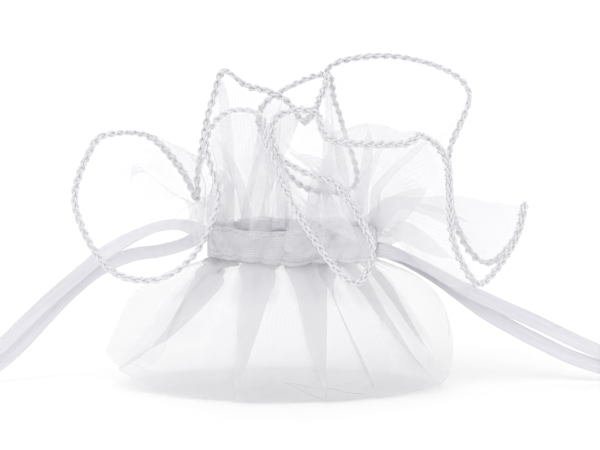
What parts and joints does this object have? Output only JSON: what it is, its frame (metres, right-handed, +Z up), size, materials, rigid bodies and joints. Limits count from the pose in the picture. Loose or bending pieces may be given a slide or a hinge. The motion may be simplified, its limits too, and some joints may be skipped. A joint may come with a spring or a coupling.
{
  "type": "drawstring gift pouch",
  "caption": "Sheer organza gift pouch gathered at the neck, with a wavy overlocked ruffle and a ribbon drawstring leaving each side.",
  "frame": {"origin": "on the table, under the middle of the pouch's flat base", "axes": "+Z up through the neck, +X to the right, so that the ribbons leave along X, and the front faces -Y"},
  "size_m": [0.2092, 0.0607, 0.0678],
  "materials": {
    "bag_organza": "satin",
    "ruffle_organza": "satin",
    "overlock_thread": "satin",
    "casing_ribbon": "satin",
    "sewing_thread": "satin",
    "drawstring_ribbon": "satin"
  },
  "bodies": {
    "pouch": {"pouch_body": "bag_organza", "ruffle": "ruffle_organza", "edge_trim": "overlock_thread", "casing_front": "casing_ribbon", "casing_back": "casing_ribbon", "casing_stitch_upper": "sewing_thread", "casing_stitch_lower": "sewing_thread", "left_ribbon_loop": "drawstring_ribbon", "right_ribbon_loop": "drawstring_ribbon"},
    "left_drawstring": {"left_tail_front": "drawstring_ribbon", "left_tail_back": "drawstring_ribbon", "left_coil": "drawstring_ribbon", "left_knot": "drawstring_ribbon"},
    "right_drawstring": {"right_tail_front": "drawstring_ribbon", "right_tail_back": "drawstring_ribbon", "right_coil": "drawstring_ribbon", "right_knot": "drawstring_ribbon"}
  },
  "joints": [
    {"name": "left_drawstring_pull", "type": "slide", "parent": "pouch", "child": "left_drawstring", "axis": [-1, 0, 0], "range_m": [0, 0.012]},
    {"name": "right_drawstring_pull", "type": "slide", "parent": "pouch", "child": "right_drawstring", "axis": [1, 0, 0], "range_m": [0, 0.012]}
  ]
}
